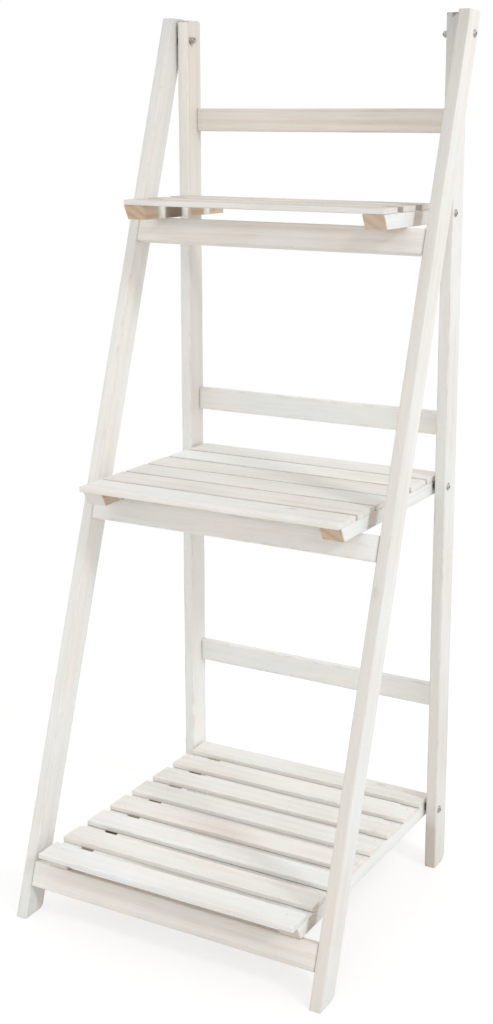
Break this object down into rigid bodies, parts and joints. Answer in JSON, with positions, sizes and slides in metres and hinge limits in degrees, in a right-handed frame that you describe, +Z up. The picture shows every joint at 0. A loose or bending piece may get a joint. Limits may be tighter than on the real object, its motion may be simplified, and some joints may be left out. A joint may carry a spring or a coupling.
{
  "type": "plant ladder stand",
  "caption": "Folding ladder stand for plants: a leaning front frame and a nearly upright rear frame of whitewashed timber with hinged slatted shelves between them.",
  "frame": {"origin": "on the floor under the middle of the stand, at the bottom centre of its bounding box", "axes": "+Z up, +Y from the front feet to the rear legs, +X to the right as seen from the front"},
  "size_m": [0.4342, 0.4099, 1.115],
  "materials": {
    "white_timber": "thin white wash, matt",
    "bare_wood": "unfinished",
    "bolt_steel": "dull, zinc plated"
  },
  "bodies": {
    "rear_frame": {"rear_leg_left": "white_timber", "rear_leg_right": "white_timber", "rear_rail_top": "white_timber", "rear_rail_middle": "white_timber", "rear_rail_bottom": "white_timber", "rear_dowels": "bare_wood", "top_bolts": "bolt_steel", "shelf_bolts": "bolt_steel", "frame_spacers": "bolt_steel", "shelf_spacers": "bolt_steel", "washers": "bolt_steel", "nuts": "bolt_steel"},
    "front_frame": {"front_stile_left": "white_timber", "front_stile_right": "white_timber", "front_rail_top": "white_timber", "front_rail_middle": "white_timber", "front_rail_bottom": "white_timber", "front_dowels": "bare_wood"},
    "top_shelf": {"top_runner_left": "white_timber", "top_runner_right": "white_timber", "top_slat_1": "white_timber", "top_slat_2": "white_timber", "top_slat_3": "white_timber", "top_brads": "bolt_steel"},
    "middle_shelf": {"middle_runner_left": "white_timber", "middle_runner_right": "white_timber", "middle_slat_1": "white_timber", "middle_slat_2": "white_timber", "middle_slat_3": "white_timber", "middle_slat_4": "white_timber", "middle_slat_5": "white_timber", "middle_slat_6": "white_timber", "middle_brads": "bolt_steel"},
    "bottom_shelf": {"bottom_runner_left": "white_timber", "bottom_runner_right": "white_timber", "bottom_slat_1": "white_timber", "bottom_slat_2": "white_timber", "bottom_slat_3": "white_timber", "bottom_slat_4": "white_timber", "bottom_slat_5": "white_timber", "bottom_slat_6": "white_timber", "bottom_slat_7": "white_timber", "bottom_slat_8": "white_timber", "bottom_brads": "bolt_steel"}
  },
  "joints": [
    {"name": "front_frame_fold", "type": "hinge", "parent": "rear_frame", "child": "front_frame", "pos_m": [0, 0.16911, 1.087], "axis": [1, 0, 0], "range_deg": [0, 18.3]},
    {"name": "top_shelf_lift", "type": "hinge", "parent": "rear_frame", "child": "top_shelf", "pos_m": [0, 0.17134, 0.8745], "axis": [-1, 0, 0], "range_deg": [0, 89]},
    {"name": "middle_shelf_lift", "type": "hinge", "parent": "rear_frame", "child": "middle_shelf", "pos_m": [0, 0.17496, 0.5285], "axis": [-1, 0, 0], "range_deg": [0, 89]},
    {"name": "bottom_shelf_lift", "type": "hinge", "parent": "rear_frame", "child": "bottom_shelf", "pos_m": [0, 0.17963, 0.0825], "axis": [-1, 0, 0], "range_deg": [0, 89]}
  ]
}
